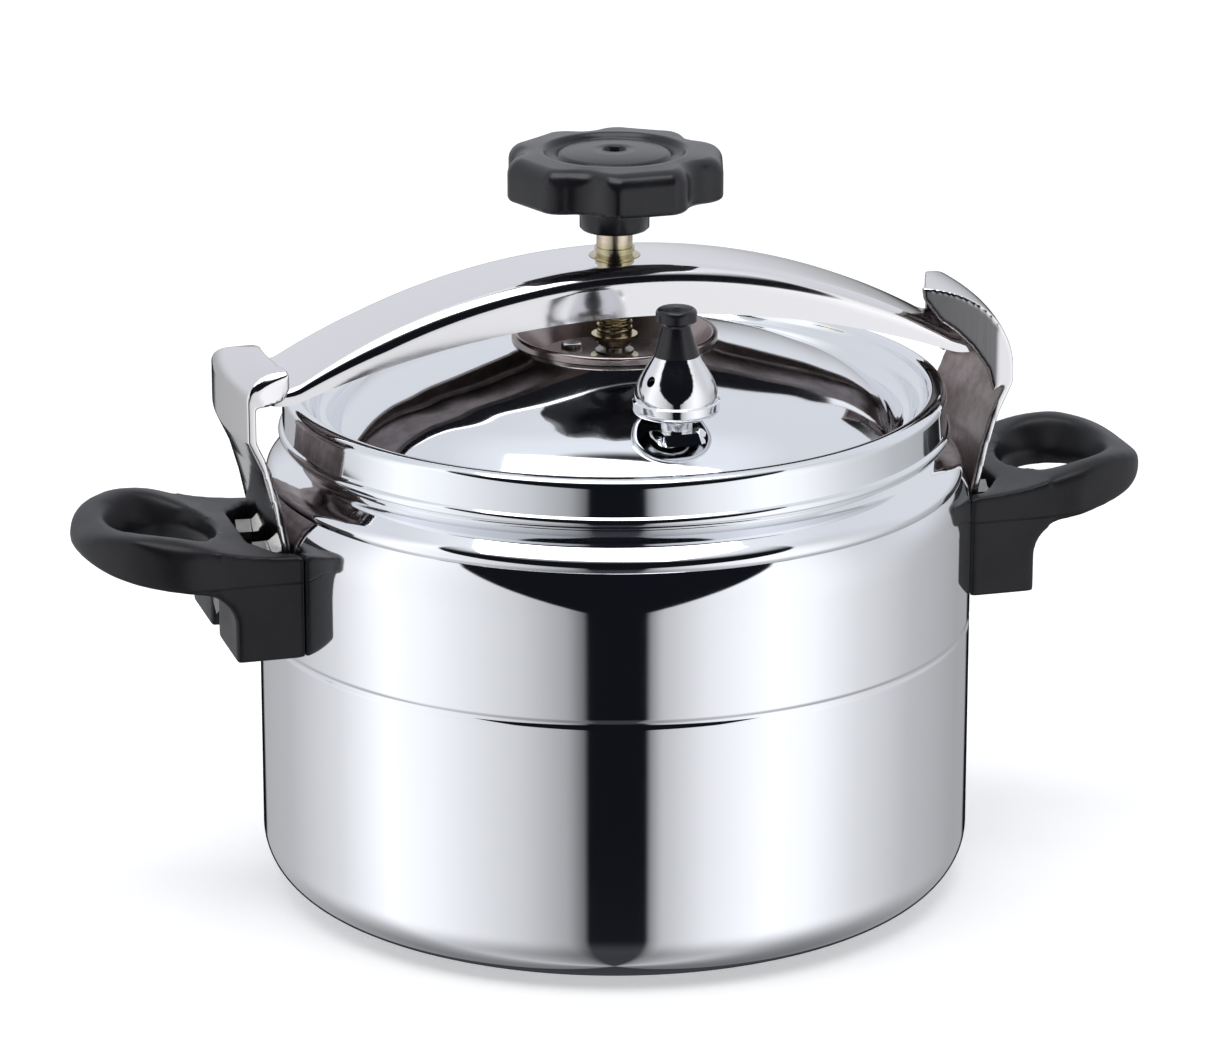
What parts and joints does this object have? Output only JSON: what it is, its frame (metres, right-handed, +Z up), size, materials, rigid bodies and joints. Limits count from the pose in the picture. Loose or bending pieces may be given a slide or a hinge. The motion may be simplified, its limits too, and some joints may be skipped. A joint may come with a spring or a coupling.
{
  "type": "stovetop pressure cooker",
  "caption": "Round metal pot with a domed lid held down by an arched beam, hooks and a screw knob, with a weight valve and side loop handles.",
  "frame": {"origin": "centre of the pot's flat base, which is the bottom of the whole object", "axes": "+Z up, along the pot's and the screw's axis; +X along the clamp beam towards the hook with the beaked hood; the weight valve is on the -Y side"},
  "size_m": [0.37, 0.24, 0.251],
  "materials": {
    "pot_aluminium": "mirror polished",
    "lid_aluminium": "mirror polished",
    "gasket_rubber": "matt",
    "seal_rubber": "matt",
    "cup_steel": "satin",
    "cup_rivets": "satin",
    "hook_steel": "polished",
    "handle_plastic": "satin",
    "knob_plastic": "semi-gloss",
    "fastener_steel": "zinc plated",
    "screw_zinc": "yellow zinc plated",
    "beam_steel": "polished",
    "weight_chrome": "polished",
    "stem_chrome": "polished",
    "valve_brass": "machined"
  },
  "bodies": {
    "cooker": {"pot_body": "pot_aluminium", "lid": "lid_aluminium", "lid_gasket": "gasket_rubber", "pressure_cup": "cup_steel", "cup_rivets": "cup_rivets", "hook_left": "hook_steel", "hook_right": "hook_steel", "handle_left": "handle_plastic", "handle_right": "handle_plastic", "body_bolts": "fastener_steel", "body_seals": "seal_rubber", "body_nuts": "fastener_steel", "vent_stem": "stem_chrome", "vent_seal": "seal_rubber", "vent_nut": "valve_brass", "vent_filter": "cup_steel", "safety_valve_body": "valve_brass", "safety_valve_cap": "valve_brass", "safety_valve_spring": "cup_steel", "safety_valve_seal": "seal_rubber", "safety_valve_nut": "valve_brass"},
    "knob": {"knob": "knob_plastic", "knob_insert": "valve_brass", "clamp_screw": "screw_zinc", "lower_stop_ring": "screw_zinc", "upper_stop_ring": "screw_zinc", "thrust_washer": "screw_zinc", "spindle_clip": "fastener_steel"},
    "beam": {"clamp_beam": "beam_steel", "beam_nut": "screw_zinc"},
    "weight": {"regulator_weight": "weight_chrome", "regulator_cap": "knob_plastic"},
    "plunger": {"safety_valve_plunger": "valve_brass"}
  },
  "joints": [
    {"name": "knob_turn", "type": "hinge", "parent": "cooker", "child": "knob", "pos_m": [0, 0, 0.215], "axis": [0, 0, 1], "range_deg": [0, 1080]},
    {"name": "beam_travel", "type": "slide", "parent": "cooker", "child": "beam", "axis": [0, 0, 1], "range_m": [-0.006, 0]},
    {"name": "weight_lift", "type": "slide", "parent": "cooker", "child": "weight", "axis": [0, 0, 1], "range_m": [0, 0.012]},
    {"name": "plunger_lift", "type": "slide", "parent": "cooker", "child": "plunger", "axis": [0, 0, 1], "range_m": [0, 0.0015], "stiffness_N_per_m": 200, "deforming": ["safety_valve_spring"]}
  ],
  "couplings": [
    {"joint": "knob_turn", "follows": "beam_travel", "rad_per_m": -3141.6}
  ]
}
